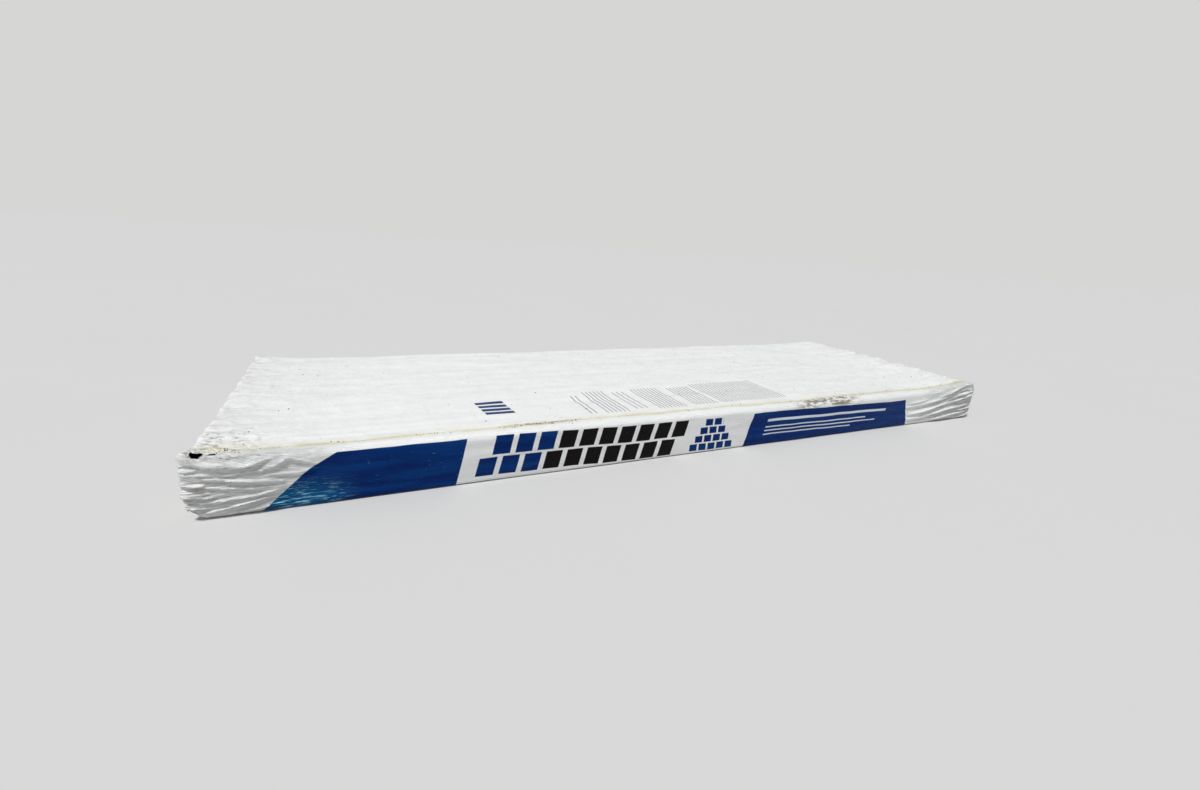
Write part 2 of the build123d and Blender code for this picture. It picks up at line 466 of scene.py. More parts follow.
def ears(point, up, inward):
    """How far the film stands out past the end, most at the corners, where it is pinched."""
    y, z = np.abs(point[:, 1]), point[:, 2]
    below = (FOOT_ROUND - np.minimum(z, FOOT_ROUND)) / FOOT_ROUND
    round_foot = np.sqrt(np.clip(1 - below**2, 0, 1))
    level = (0.1 + 0.9 * round_foot) * (1 - 0.12 * smooth_step(z, 0.5 * HEIGHT, HEIGHT))
    corner = EAR_LENGTH * level * np.exp(-((HALF_WIDTH - y) / (8 * MM)) ** 2)
    edge = END_BULGE * level * (1 - smooth_step(inward, 0.1, 0.8))
    rim = RIM_BULGE * smooth_step(inward, 0.55, 1.0)
    uneven = 0.93 + 0.08 * soft_field(up / (8 * MM), inward * 3, 71)
    return (corner + edge) * uneven + rim


def gathers_on_wall(up, inward, end):
    """The pleats of the end walls: fine at the bundle's edge, deep and close at the opening."""
    wave = soft_field(up / (10 * MM), inward * 1.3 + end * 7, 81)
    sharp = creased_field(up / (7 * MM), inward * 1.6 + end * 5, 83) - 0.4
    fine = creased_field(up / (4.5 * MM), inward * 3 + end * 3, 85) - 0.4
    depth = 0.35 + 2.3 * inward
    return depth * (0.9 * wave + 1.1 * sharp + 0.5 * fine) * MM


def outward_folds(point, normal, along, up, inward):
    """How far each point of the film is moved outwards by folds, before it is drawn in."""
    on_wall = smooth_step(inward, 0.0, 0.12)
    out = wrinkles(along, up) * (1 - on_wall)
    out += shoulder(along, up) * (1 - on_wall) * (up > 30 * MM) * (up < 110 * MM)
    # The underside is pressed flat on the floor, and the drawn ends lift the foot of the front
    flat = np.clip(-normal[:, 2], 0, 1)
    out *= 1 - 0.93 * flat
    out *= 1 - 0.65 * np.abs(normal[:, 0])
    past = np.maximum(np.abs(along) - (HALF_LENGTH - 32 * MM), 0) / (32 * MM)
    lifted = np.clip(past, 0, 1) ** 1.5 * (1 - smooth_step(point[:, 2], 1 * MM, 11 * MM))
    return out - 3.0 * MM * lifted * (1 - flat) * (1 - on_wall)


def draw_in_ends(point, up, inward, rolled, end):
    """Moves the film out past both ends, pleats it over the end walls and turns in the rims."""
    pull = smooth_step(np.abs(point[:, 0]), HALF_LENGTH - 40 * MM, HALF_LENGTH)
    direction = np.sign(point[:, 0])
    point[:, 0] += direction * ears(point, up, inward) * pull
    on_wall = smooth_step(inward, 0.0, 0.12)
    point[:, 0] += direction * gathers_on_wall(up, inward, end) * on_wall

    # Past the stack the film doesn't reach the floor
    beyond_stack = smooth_step(np.abs(point[:, 0]), STACK_HALF_LENGTH - 1 * MM, HALF_LENGTH + 7 * MM)
    point[:, 2] += 3.5 * MM * beyond_stack * (1 - smooth_step(point[:, 2], 2 * MM, 18 * MM))

    # Pleats also shift the film sideways where it bunches up at the opening
    shift = soft_field(up / (6 * MM), inward * 2 + end, 87) * 1.6 * MM * inward * (1 - rolled)
    at_end = np.abs(end) > 0
    point[:, 1] += shift * at_end
    point[:, 2] += 0.5 * shift * at_end
    point[:, 0] -= direction * rolled * RIM_DEPTH


def shaped_film():
    """The points of the wrinkled film, its flat places, and the grid's size."""
    point, normal, (along, up, inward, rolled, end), shape = film_points()
    raised = raised_ends(point[:, 0], up, point[:, 2])
    above = smooth_step(point[:, 2], HEIGHT - 7 * MM, HEIGHT)
    out = outward_folds(point, normal, along, up, inward)
    point[:, 2] += top_sag(point[:, 0], point[:, 1]) * above * (normal[:, 2] > 0)
    point += normal * out[:, None]
    point[:, 2] += raised * (1 - inward)

    # The torn corner is pinched up into a small knob
    from_corner = ((along + HALF_LENGTH) / (9 * MM)) ** 2
    knob = np.exp(-from_corner - ((up - TOP_START + 2 * MM) / (7 * MM)) ** 2)
    point[:, 2] += 2.4 * MM * knob
    point[:, 0] -= 1.8 * MM * knob

    draw_in_ends(point, up, inward, rolled, end)
    point = keep_off_stack(point, normal)
    point[:, 2] = np.maximum(point[:, 2], 0.05 * MM)
    return point, along, up, shape


def make_film():
    """The printed film: one flat sheet, folded round the stack and drawn in over both ends."""
    point, along, up, (rows, columns) = shaped_film()
    deselect_all()
    bpy.ops.mesh.primitive_grid_add(x_subdivisions=columns - 1, y_subdivisions=rows - 1, size=1)
    film = bpy.context.object
    film.name = "printed_film"
    mesh = film.data
    mesh.name = "printed_film"
    grid = np.empty(len(mesh.vertices) * 3)
    mesh.vertices.foreach_get("co", grid)
    grid = grid.reshape(-1, 3)
    column = np.rint((grid[:, 0] + 0.5) * (columns - 1)).astype(int)
    row = np.rint((grid[:, 1] + 0.5) * (rows - 1)).astype(int)
    order = row * columns + column
    mesh.vertices.foreach_set("co", point[order].reshape(-1))

    # The print follows the flat film: the map holds metres along it and up it
    if not mesh.uv_layers:
        mesh.uv_layers.new(name="flat_film")
    mesh.uv_layers[0].name = "flat_film"
    corner = np.empty(len(mesh.loops), dtype=int)
    mesh.loops.foreach_get("vertex_index", corner)
    flat_map = np.stack([along[order][corner], up[order][corner]], -1)
    mesh.uv_layers[0].data.foreach_set("uv", flat_map.reshape(-1))
    mesh.polygons.foreach_set("use_smooth", [True] * len(mesh.polygons))
    tear_open(film, along[order], up[order])
    mesh.update()
    return film


# Torn holes at the front left top corner: place (along, up) and half sizes in millimetres
TEARS = ((-494.6, 52.7, 3.3, 2.5), (-488.0, 53.0, 1.1, 0.8))
TEAR_SEED = 91

# The middle and half size of the place that holds both tears
TORN_MIDDLE = (-494 * MM, 52 * MM)
TORN_REACH = (12 * MM, 9 * MM)


def tear_distance(along, up, tear):
    """Below 1 inside a torn hole, whose edge is uneven."""
    place_along, place_up, half_length, half_height = tear
    a = (along / MM - place_along) / half_length
    b = (up / MM - place_up) / half_height
    ragged = 0.30 * waves(along, up, 1.1, 0.9, TEAR_SEED)
    return a * a + b * b + ragged


def tear_open(film, along, up):
    """Divides the film finely round the torn holes, then cuts them out."""
    mesh = film.data
    near = np.zeros(len(along), dtype=bool)
    for tear in TEARS:
        near |= tear_distance(along, up, tear) < 3.2
    deselect_all()
    film.select_set(True)
    bpy.context.view_layer.objects.active = film
    bpy.ops.object.mode_set(mode="EDIT")
    bpy.ops.mesh.select_mode(type="VERT")
    bpy.ops.mesh.select_all(action="DESELECT")
    bpy.ops.object.mode_set(mode="OBJECT")
    for index in np.nonzero(near)[0]:
        mesh.vertices[int(index)].select = True
    bpy.ops.object.mode_set(mode="EDIT")
    bpy.ops.mesh.subdivide(number_cuts=4, smoothness=0.0)
    bpy.ops.mesh.select_all(action="DESELECT")
    bpy.ops.mesh.select_mode(type="FACE")
    bpy.ops.object.mode_set(mode="OBJECT")
    flat = mesh.uv_layers[0].data
    for polygon in mesh.polygons:
        first = polygon.loop_start
        opposite = first + polygon.loop_total // 2
        middle = np.array([flat[first].uv[:], flat[opposite].uv[:]]).mean(axis=0)
        if np.any(np.abs(middle - TORN_MIDDLE) > TORN_REACH):
            continue
        along, up = middle[:1], middle[1:]
        polygon.select = any(tear_distance(along, up, tear)[0] < 1 for tear in TEARS)
    bpy.ops.object.mode_set(mode="EDIT")
    bpy.ops.mesh.delete(type="FACE")
    bpy.ops.object.mode_set(mode="OBJECT")


# The largest granule, and how much it may be stretched along its three axes
GRANULE_RADIUS = 0.75 * MM
GRANULE_STRETCH = ((0.8, 1.5), (0.7, 1.2), (0.45, 0.75))

# Where granules gather on the top: from and to along it, how many, how far behind the front edge
# and how widely spread, in millimetres. The rest lie scattered.
GRANULE_GROUPS = (
    (-262, -170, 46, 14, 2.2),
    (-335, -305, 5, 15, 2.0),
    (120, 270, 26, 12, 4.0),
    (-490, 500, 40, 16, 3.0),
    (-200, 480, 22, 70, 40.0),
    (-492, -470, 14, 12, 5.0),
)
SCATTERED_GRANULES = 70


def granule_places():
    """Where granules lie on the top, as (x, y) in metres."""
    random = np.random.default_rng(101)
    places = []
    for low, high, count, setback, spread in GRANULE_GROUPS:
        for _ in range(count):
            x = random.uniform(low, high) * MM
            places.append((x, -HALF_WIDTH + (setback + random.normal(0, spread)) * MM))
    for _ in range(SCATTERED_GRANULES):
        places.append((random.uniform(-490, 490) * MM, random.uniform(-150, 160) * MM))
    return places


def make_granules(film):
    """Small dark granules as one mesh, each a squashed ball seated on the film below it."""
    deselect_all()
    bpy.ops.mesh.primitive_ico_sphere_add(subdivisions=1, radius=1.0)
    first = bpy.context.object
    ball = np.array([v.co[:] for v in first.data.vertices])
    faces = np.array([p.vertices[:] for p in first.data.polygons])
    bpy.data.objects.remove(first)

    tree = BVHTree.FromObject(film, bpy.context.evaluated_depsgraph_get())
    random = np.random.default_rng(103)
    points, polygons = [], []
    for x, y in granule_places():
        hit, normal, _, _ = tree.ray_cast(Vector((x, y, 0.2)), Vector((0, 0, -1)))
        if hit is None or normal.z < 0.3:
            continue
        size = GRANULE_RADIUS * random.uniform(0.45, 1.0)
        stretch = np.array([random.uniform(low, high) for low, high in GRANULE_STRETCH])
        turn = random.uniform(0, math.tau)
        c, s = math.cos(turn), math.sin(turn)
        turned = ball * stretch @ np.array([[c, s, 0], [-s, c, 0], [0, 0, 1]])
        place = np.array(hit) + np.array([0, 0, 0.4 * size * stretch[2]])
        polygons += (faces + len(points) * len(ball)).tolist()
        points.append(turned * size + place)
    mesh = bpy.data.meshes.new("loose_granules")
    mesh.from_pydata(np.concatenate(points).tolist(), [], polygons)
    mesh.update()
    granules = bpy.data.objects.new("loose_granules", mesh)
    bpy.context.collection.objects.link(granules)
    return granules


class Finish:
    """A node material, with short ways to add the nodes that it needs."""

    def __init__(self, name):
        self.material = bpy.data.materials.new(name)
        self.material.use_nodes = True
        self.nodes = self.material.node_tree.nodes
        self.links = self.material.node_tree.links
        self.shader = self.nodes["Principled BSDF"]

    def add(self, kind, **values):
        """A new node of that kind, with these settings."""
        node = self.nodes.new(kind)
        for name, value in values.items():
            setattr(node, name, value)
        return node

    def join(self, source, socket):
        """Sets the socket to a number or colour, or links it to another socket."""
        if isinstance(source, (int, float, tuple)):
            socket.default_value = source
        else:
            self.links.new(source, socket)

    def give(self, name, source):
        """Sets or links that input of the shader."""
        self.join(source, self.shader.inputs[name])

    def object_place(self):
        return self.add("ShaderNodeTexCoord").outputs["Object"]

    def sum(self, operation, first, second=0.0):
        """One sum of two numbers or sockets."""
        node = self.add("ShaderNodeMath", operation=operation)
        self.join(first, node.inputs[0])
        self.join(second, node.inputs[1])
        return node.outputs[0]

    def times(self, first, second):
        return self.sum("MULTIPLY", first, second)

    def plus(self, first, second):
        return self.sum("ADD", first, second)

    def minus(self, first, second):
        return self.sum("SUBTRACT", first, second)

    def ramp(self, value, low, high, start=0.0, end=1.0):
        """Start below low, end above high, and a smooth change between."""
        node = self.add("ShaderNodeMapRange", interpolation_type="SMOOTHSTEP")
        for socket, amount in zip(node.inputs, (value, low, high, start, end)):
            self.join(amount, socket)
        return node.outputs[0]

    def mix(self, amount, first, second):
        """The first colour, with that amount of the second."""
        node = self.add("ShaderNodeMix", data_type="RGBA")
        self.join(amount, node.inputs[0])
        self.join(first, node.inputs[6])
        self.join(second, node.inputs[7])
        return node.outputs[2]

    def noise(self, place, scale, detail=3.0, rough=0.55, stretch=(1, 1, 1), shift=(0, 0, 0)):
        """Soft noise over the place, finer in the directions where stretch is larger."""
        mapping = self.add("ShaderNodeMapping")
        mapping.inputs["Scale"].default_value = stretch
        mapping.inputs["Location"].default_value = shift
        self.links.new(place, mapping.inputs["Vector"])
        node = self.add("ShaderNodeTexNoise")
        node.inputs["Scale"].default_value = scale
        node.inputs["Detail"].default_value = detail
        node.inputs["Roughness"].default_value = rough
        self.links.new(mapping.outputs[0], node.inputs["Vector"])
        return node.outputs["Fac"]

    def bump(self, height, strength, distance, below=None):
        """Fine relief of that height, on top of the relief below it."""
        node = self.add("ShaderNodeBump")
        node.inputs["Strength"].default_value = strength
        node.inputs["Distance"].default_value = distance
        self.join(height, node.inputs["Height"])
        if below is not None:
            self.links.new(below, node.inputs["Normal"])
        return node.outputs[0]


def tone(red, green, blue):
    """A colour from its 0 to 255 values as seen on a screen."""
    def linear(value):
        value /= 255
        return value / 12.92 if value <= 0.04045 else ((value + 0.055) / 1.055) ** 2.4
    return (linear(red), linear(green), linear(blue), 1.0)


# The film, what soils it, and the painted shade of its crumpled corner
WHITE_FILM = tone(240, 241, 240)
DUSTY_FILM = tone(222, 226, 228)
SCUFFED_FILM = tone(198, 204, 204)
STAIN = tone(220, 216, 184)
STAIN_LINE = tone(172, 163, 130)
SMEAR = tone(140, 126, 84)
SHOULDER_DIRT = tone(132, 123, 106)
CORNER_CREASE_SHADE = tone(150, 147, 136)
GRIME = tone(150, 142, 126)
GRIT = tone(92, 84, 74)

# The inks, a lighter blue painted on the blue ink as sheen, and how the inks look where they are
# scuffed
BLUE_INK = tone(0, 38, 102)
PAINTED_BLUE_SHEEN = tone(2, 54, 119)
TEAL_WEAR = tone(4, 98, 150)
BLUE_SCUFF = tone(170, 222, 244)
MARK_BLUE = tone(8, 46, 104)
BLACK_INK = tone(20, 17, 18)
BLACK_SCUFF = tone(150, 150, 152)
RULE_WHITE = tone(226, 232, 240)
GREY_INK = tone(74, 77, 86)

# The print in millimetres: its upper edge, where it ends under the foot, the even spacing and
# width of its slanted tabs, each course of them (low and high edge, first tab, start and end),
# and the spacing and width of the shingles of the small pattern
PRINT_TOP = 48
PRINT_FOOT = -26.0
TAB_PITCH, TAB_WIDTH = 23.4, 18.2
TAB_COURSES = ((28.4, PRINT_TOP, -275, -276, -42), (6, 26, -286.7, -287, -54))
SHINGLE_PITCH, SHINGLE_WIDTH = 13, 10.8

# Places on the flat film in millimetres: where its top starts, and a little past its ends
TOP_EDGE = TOP_START / MM
PAST_ENDS = 520


class FilmFinish(Finish):
    """The film's finish, with masks over the flat film in millimetres along it and up it."""

    def __init__(self, name):
        super().__init__(name)
        flat = self.add("ShaderNodeUVMap", uv_map="flat_film").outputs[0]
        scaled = self.add("ShaderNodeVectorMath", operation="SCALE")
        self.links.new(flat, scaled.inputs[0])
        scaled.inputs["Scale"].default_value = 1 / MM
        self.place = scaled.outputs[0]
        split = self.add("ShaderNodeSeparateXYZ")
        self.links.new(self.place, split.inputs[0])
        self.along, self.up = split.outputs[0], split.outputs[1]

    def above(self, value, edge, soft=0.35):
        """1 above the edge and 0 below it."""
        return self.ramp(value, edge - soft, edge + soft)

    def below(self, value, edge, soft=0.35):
        """1 below the edge and 0 above it."""
        return self.ramp(value, edge - soft, edge + soft, 1.0, 0.0)

    def all_of(self, *masks):
        result = masks[0]
        for mask in masks[1:]:
            result = self.times(result, mask)
        return result

    def any_of(self, *masks):
        result = masks[0]
        for mask in masks[1:]:
            result = self.sum("MAXIMUM", result, mask)
        return result

    def between(self, value, low, high, soft=0.35):
        return self.all_of(self.above(value, low, soft), self.below(value, high, soft))

    def zone(self, value, start, full, last, end):
        """Rises from start to full, and falls again from last to end."""
        return self.all_of(self.ramp(value, start, full), self.ramp(value, last, end, 1.0, 0.0))

    def bars(self, value, start, pitch, width):
        """Even bars across a value, each of that width, from start on."""
        phase = self.sum("FRACT", self.sum("DIVIDE", self.minus(value, start), pitch))
        soft = 0.3 / pitch
        return self.all_of(self.above(phase, soft, soft), self.below(phase, width / pitch, soft))


def print_level(p):
    """Height up the print. The film went on slightly askew, so it runs down to the right."""
    skew = p.plus(p.ramp(p.along, -260, -60, 0.0, 4.5), p.ramp(p.along, 60, 380, 0.0, 3.0))
    wavy = p.times(p.minus(p.noise(p.place, 0.014, 2.0, shift=(60, 0, 0)), 0.5), 3.5)
    return p.plus(p.plus(p.up, skew), wavy)


def left_block(p, level, leaned):
    """The mask of a plain block of ink whose left edge slopes in two runs."""
    low_slope = p.minus(p.along, p.times(p.up, 1.07))
    high_slope = p.minus(p.along, p.times(p.up, 1.7))
    return p.all_of(
        p.above(p.up, PRINT_FOOT),
        p.above(low_slope, -463.3),
        p.above(high_slope, -484.8),
        p.below(leaned, -303),
        p.below(level, PRINT_TOP),
    )


def slanted_tabs(p, level, leaned):
    """The masks of the blue and the black tabs, which stand in two staggered courses."""
    courses = []
    for low, high, first, start, end in TAB_COURSES:
        row = p.all_of(p.between(level, low, high), p.bars(leaned, first, TAB_PITCH, TAB_WIDTH))
        courses.append(p.all_of(row, p.between(leaned, start, end)))
    # Along each course the tabs turn from blue to black
    tabs = p.any_of(*courses)
    stepped = p.minus(leaned, p.ramp(level, 26.8, 27.6, 0.0, 12.0))
    change = -217.5
    return p.all_of(tabs, p.below(stepped, change)), p.all_of(tabs, p.above(stepped, change))


def shingle_pattern(p, level):
    """The mask of a small pile of shingle courses, each a little shorter than the one below."""
    courses = []
    for step, first in enumerate((-31.0, -24.5, -18.0, -11.5)):
        low = 7 + 10.4 * step
        end = first + SHINGLE_PITCH * (5 - step) + 0.2 * step
        bars = p.bars(p.along, first, SHINGLE_PITCH, SHINGLE_WIDTH)
        row = p.all_of(p.between(level, low, low + 8.6), bars)
        courses.append(p.all_of(row, p.between(p.along, first - 1, end)))
    return p.any_of(*courses)


def right_block(p, level, leaned):
    """The masks of a second plain block of ink and of the white rules across it."""
    right_lean = p.plus(p.along, p.times(p.up, 0.33))
    box = p.all_of(
        p.above(p.up, PRINT_FOOT),
        p.above(leaned, 51),
        p.below(right_lean, 361),
        p.below(level, PRINT_TOP),
    )
    rules = []
    for height, end, thick in ((35, 300, 3.4), (27, 262, 1.6), (22, 284, 1.6), (17, 236, 1.6)):
        rules.append(p.all_of(p.between(level, height, height + thick), p.between(leaned, 78, end)))
    return box, p.any_of(*rules)


def film_print(p):
    """The masks of the blue, black and white parts of the print on the front."""
    level = print_level(p)
    leaned = p.plus(p.along, p.times(p.up, -0.24))
    blue_tabs, black_tabs = slanted_tabs(p, level, leaned)
    box, rules = right_block(p, level, leaned)
    blue = p.any_of(left_block(p, level, leaned), blue_tabs, shingle_pattern(p, level), box)
    return blue, black_tabs, rules


def top_print(p):
    """The masks of the small blue mark and the ruled block printed on the top."""
    # On the top, the distance up the film is counted from the front edge
    depth = p.minus(p.up, TOP_EDGE - 6)
    bars = p.any_of(*(p.between(depth, start, start + 8) for start in (54, 66, 78, 90)))
    mark = p.all_of(bars, p.between(p.plus(p.along, p.times(depth, 0.12)), -254, -222))

    columns = []
    for left, right, start, end, pitch in (
        (-148, -136, 29, 98, 6.2),
        (-128, -96, 27, 110, 5.4),
        (-88, -68, 32, 104, 7.0),
        (-58, -16, 27, 110, 5.2),
        (-4, 30, 30, 106, 5.2),
        (38, 146, 31, 114, 5.0),
    ):
        area = p.all_of(p.between(p.along, left, right), p.between(depth, start, end))
        columns.append(p.all_of(p.bars(p.along, left, pitch, 1.6), area))
    return mark, p.any_of(*columns)


def worn_ink(p):
    """How far ink is scuffed away: in streaks at the left block's foot, and thinly elsewhere."""
    streaks = p.noise(p.place, 1.0, 4.0, 0.62, stretch=(0.075, 0.85, 1.0))
    fine_streaks = p.noise(p.place, 1.0, 3.0, 0.6, stretch=(0.16, 1.5, 1.0), shift=(7, 3, 0))
    foot = p.all_of(p.ramp(p.along, -432, -384, 1.0, 0.0), p.ramp(p.up, 8, 31, 1.0, 0.0))
    wear = p.times(p.ramp(streaks, 0.535, 0.625), foot)
    return p.any_of(wear, p.times(p.ramp(fine_streaks, 0.66, 0.78), 0.5)), foot


def stain_crease(p, white, past_end):
    """Adds the pale band and the thin line along the crease of the front top edge."""
    inside = p.ramp(past_end, 14, 26)
    wander = p.times(p.minus(p.noise(p.place, 0.02, 3.0, shift=(40, 0, 0)), 0.5), 6.0)
    crease_up = p.plus(p.up, wander)
    uneven = p.ramp(p.noise(p.place, 0.03, 5.0, 0.6, shift=(3, 0, 0)), 0.30, 0.58, 0.12, 0.85)
    band = p.zone(crease_up, TOP_EDGE, TOP_EDGE + 6, TOP_EDGE + 6, TOP_EDGE + 22)
    white = p.mix(p.all_of(band, uneven, inside), white, STAIN)

    line_up = p.minus(crease_up, TOP_EDGE + 6.5)
    dirtiest = p.zone(p.along, -268, -225, -205, -162)
    broken = p.ramp(p.noise(p.place, 0.09, 5.0, 0.7, shift=(9, 4, 0)), 0.36, 0.64, 0.1, 0.85)
    strength = p.any_of(broken, p.times(dirtiest, 0.8))
    line = p.all_of(p.zone(line_up, -1.6, 0.0, 0.0, 2.2), strength, inside)
    white = p.mix(line, white, STAIN_LINE)

    blotches = p.noise(p.place, 0.22, 5.0, 0.7, stretch=(0.5, 1.2, 1.0))
    smear = p.all_of(p.zone(line_up, -4.5, -1.0, 3.0, 6.5), dirtiest)
    return p.mix(p.times(smear, p.ramp(blotches, 0.42, 0.58, 0.0, 0.8)), white, SMEAR)


def scuff_and_shade_top(p, white):
    """The top is scuffed all over, and the crumpled corner by the tear is darkened with painted
    shade of its creases.
    """
    on_top = p.ramp(p.up, TOP_EDGE, TOP_EDGE + 12)
    scuffs = p.noise(p.place, 0.30, 5.0, 0.7, stretch=(0.6, 1.3, 1.0), shift=(13, 2, 0))
    white = p.mix(p.times(p.ramp(scuffs, 0.50, 0.62, 0.0, 0.26), on_top), white, SCUFFED_FILM)
    # Painted shade: patches of the crumpled corner by the tear are darkened where its creases would
    # be shaded
    across = p.zone(p.up, TOP_EDGE - 12, TOP_EDGE - 4, TOP_EDGE + 20, TOP_EDGE + 80)
    corner = p.all_of(p.ramp(p.along, -488, -446, 1.0, 0.0), across)
    crease_shade_noise = p.noise(p.place, 0.20, 5.0, 0.72, stretch=(0.8, 1.2, 1.0), shift=(5, 44, 0))
    return p.mix(p.times(corner, p.ramp(crease_shade_noise, 0.52, 0.60, 0.0, 0.7)), white, CORNER_CREASE_SHADE)


def bare_film(p, past_end):
    """The colour of the bare film, and where its ends are grubby."""
    cloud = p.noise(p.place, 0.010, 4.0)
    dusty = p.noise(p.place, 0.10, 5.0, 0.7, stretch=(0.7, 1.2, 1.0), shift=(20, 9, 0))
    white = p.mix(p.times(p.ramp(cloud, 0.35, 0.7), 0.12), WHITE_FILM, DUSTY_FILM)
    white = stain_crease(p, white, past_end)
    patch = p.all_of(p.zone(p.along, 120, 160, 225, 262), p.zone(p.up, 41, 46, 57, 66))
    patch = p.times(patch, p.ramp(dusty, 0.42, 0.57, 0.0, 0.95))
    white = p.mix(patch, white, SHOULDER_DIRT)
    grubby = p.times(p.ramp(past_end, 6, 46, 1.0, 0.0), p.ramp(dusty, 0.44, 0.68, 0.0, 0.6))
    return scuff_and_shade_top(p, p.mix(grubby, white, GRIME)), grubby


def printed_colour(p, white, wear, foot, blue, black, rules):
    """The colour of the film with its print on it, with a painted sheen on the blue ink."""
    loss = p.times(wear, 0.95)
    # Lighter streaks over the blue ink are a painted sheen of the glossy film
    blue_sheen_noise = p.noise(p.place, 1.0, 3.0, 0.5, stretch=(0.011, 0.10, 1.0), shift=(2, 8, 0))
    ink = p.mix(p.ramp(blue_sheen_noise, 0.38, 0.64), BLUE_INK, PAINTED_BLUE_SHEEN)
    ink = p.mix(p.times(foot, 0.85), ink, TEAL_WEAR)
    ink = p.mix(loss, ink, BLUE_SCUFF)
    black_ink = p.mix(p.times(loss, 0.6), BLACK_INK, BLACK_SCUFF)
    colour = p.mix(blue, white, ink)
    colour = p.mix(black, colour, black_ink)
    colour = p.mix(p.times(rules, 0.94), colour, RULE_WHITE)
    mark, columns = top_print(p)
    colour = p.mix(mark, colour, MARK_BLUE)
    uneven = p.ramp(p.noise(p.place, 0.5, 2.0), 0.30, 0.48, 0.35, 0.85)
    return p.mix(p.times(columns, uneven), colour, GREY_INK)


def add_grit(p, colour):
    """Fine grit stuck to the film here and there."""
    grit = p.noise(p.place, 0.42, 2.0, 0.5, shift=(31, 17, 0))
    gritty = p.ramp(p.noise(p.place, 0.02, 3.0, shift=(11, 5, 0)), 0.50, 0.72)
    specks = p.times(p.ramp(grit, 0.735, 0.76), gritty)
    return p.mix(p.times(specks, 0.8), colour, GRIT)


def fine_wrinkles(p, past_end):
    """Wrinkles finer than the mesh: pulled along the bundle, and crumpled towards the ends."""
    on_front = p.zone(p.up, *FRONT_ZONE)
    spread = p.times(p.ramp(p.along, -510, -440, 0.0, 1.1), on_front)
    flow = p.plus(p.up, p.times(p.minus(p.up, 25.0), spread))
    risen = p.times(p.sum("MAXIMUM", p.minus(p.along, 330.0), 0.0), -0.14)
    flowing = p.add("ShaderNodeCombineXYZ")
    p.links.new(p.along, flowing.inputs[0])
    p.links.new(p.plus(flow, risen), flowing.inputs[1])
    pulled = p.noise(flowing.outputs[0], 1.0, 3.0, 0.6, stretch=(0.030, 0.42, 1.0))
    pulled = p.sum("ABSOLUTE", p.minus(pulled, 0.5))
    thin, apart = (0.055, 0.95, 1.0), (17, 6, 0)
    threads = p.noise(flowing.outputs[0], 1.0, 2.0, 0.5, stretch=thin, shift=apart)
    threads = p.sum("ABSOLUTE", p.minus(threads, 0.5))
    pulled = p.plus(pulled, p.times(threads, 0.3))
    pulled = p.times(pulled, p.ramp(past_end, 40, 150, -1.0, -0.28))
    pulled = p.times(pulled, p.ramp(p.up, TOP_EDGE - 4, TOP_EDGE + 12, 1.0, 0.3))
    crumpled = p.noise(p.place, 0.16, 4.0, 0.6, stretch=(0.6, 1.2, 1.0))
    near_end = p.ramp(past_end, 10, 120, 1.0, 0.12)
    first = p.bump(pulled, 1.0, 0.0042)
    second = p.bump(p.times(crumpled, near_end), 0.8, 0.0016, first)
    return p.bump(p.noise(p.place, 0.9, 3.0, 0.6), 0.18, 0.0004, second)


def make_film_finish():
    """Glossy white film with worn blue, black and grey print, stains and fine wrinkles."""
    p = FilmFinish("printed_film")
    past_end = p.minus(PAST_ENDS, p.sum("ABSOLUTE", p.along))
    blue, black, rules = film_print(p)
    wear, foot = worn_ink(p)
    white, grubby = bare_film(p, past_end)
    colour = printed_colour(p, white, wear, foot, blue, black, rules)
    p.give("Base Color", add_grit(p, colour))

    rough = p.ramp(p.noise(p.place, 0.05, 4.0), 0.3, 0.7, 0.26, 0.42)
    p.give("Roughness", p.plus(rough, p.times(p.any_of(grubby, wear), 0.2)))
    p.give("IOR", 1.5)
    p.give("Specular IOR Level", p.ramp(p.any_of(blue, black), 0.0, 1.0, 0.42, 0.06))
    p.give("Normal", fine_wrinkles(p, past_end))
    return p.material


def make_shingle_finish():
    """Dark asphalt mat covered with mineral granules of several greys."""
    f = Finish("shingle_granules")
    place = f.object_place()
    cells = f.add("ShaderNodeTexVoronoi")
    cells.inputs["Scale"].default_value = 620
    f.links.new(place, cells.inputs["Vector"])
    split = f.add("ShaderNodeSeparateColor")
    f.links.new(cells.outputs["Color"], split.inputs[0])
    dark = f.mix(f.ramp(split.outputs[0], 0.2, 0.85), tone(34, 33, 34), tone(78, 76, 76))
    light = f.mix(f.ramp(split.outputs[1], 0.86, 0.92), dark, tone(134, 128, 120))
    f.give("Base Color", light)
    f.give("Roughness", 0.85)
    f.give("Normal", f.bump(cells.outputs["Distance"], 0.7, 0.0012))
    return f.material


def make_granule_finish():
    """Single granules and crumbs, from nearly black to brown."""
    f = Finish("loose_granules")
    place = f.object_place()
    shade = f.ramp(f.noise(place, 900, 2.0), 0.3, 0.7)
    f.give("Base Color", f.mix(shade, tone(24, 22, 22), tone(84, 70, 58)))
    f.give("Roughness", 0.8)
    f.give("Normal", f.bump(f.noise(place, 3000, 2.0), 0.4, 0.0003))
    return f.material


FLOOR_TONE = tone(208, 208, 207)
FAINT_TONE = tone(206, 206, 205)
BACKDROP_TONE = tone(214, 214, 213)
SKY_TONE = (0.97, 0.985, 1.0, 1.0)
SKY_STRENGTH = 0.33
SUN_STRENGTH = 2.70
SUN_TOWARDS = Vector((0.36, 0.22, -0.91))


def make_floor():
    """A plain pale floor, wide enough to fill the view."""
    deselect_all()
    bpy.ops.mesh.primitive_plane_add(size=24, location=(0, 0, 0))
    floor = bpy.context.object
    floor.name = "studio_floor"
    f = Finish("studio_floor")
    f.give("Base Color", f.mix(f.noise(f.object_place(), 3, 3.0), FLOOR_TONE, FAINT_TONE))
    f.give("Roughness", 0.9)
    f.give("Specular IOR Level", 0.1)
    floor.data.materials.append(f.material)


